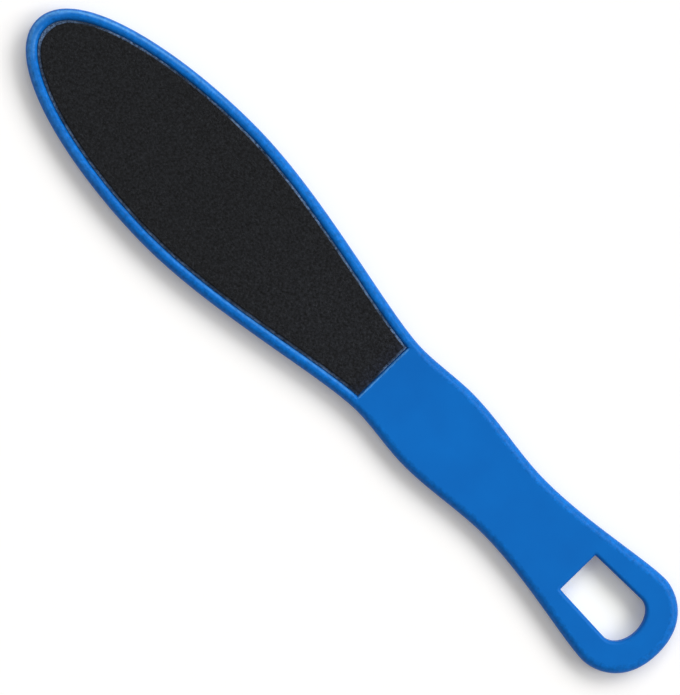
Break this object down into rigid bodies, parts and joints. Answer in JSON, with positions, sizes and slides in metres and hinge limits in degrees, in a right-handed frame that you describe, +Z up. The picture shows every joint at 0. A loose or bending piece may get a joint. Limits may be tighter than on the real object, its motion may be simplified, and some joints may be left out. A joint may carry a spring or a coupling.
{
  "type": "foot file",
  "caption": "Flat paddle-shaped foot file: abrasive sheets recessed into both faces of a long oval head, behind a raised rim, with a waisted handle and a hang hole.",
  "frame": {"origin": "middle of the file's length and width, on the surface that it lies on", "axes": "+X from the end of the handle to the tip of the head, +Y across the file, +Z up out of the coarse face"},
  "size_m": [0.26, 0.0478, 0.006],
  "materials": {
    "blue_plastic": "satin",
    "adhesive_film": "satin",
    "backing_paper": "matte",
    "coarse_abrasive": "matte",
    "fine_abrasive": "matte"
  },
  "bodies": {
    "root": {"paddle_body": "blue_plastic", "coarse_adhesive": "adhesive_film", "coarse_backing": "backing_paper", "coarse_grit": "coarse_abrasive", "fine_adhesive": "adhesive_film", "fine_backing": "backing_paper", "fine_grit": "fine_abrasive"}
  },
  "joints": []
}
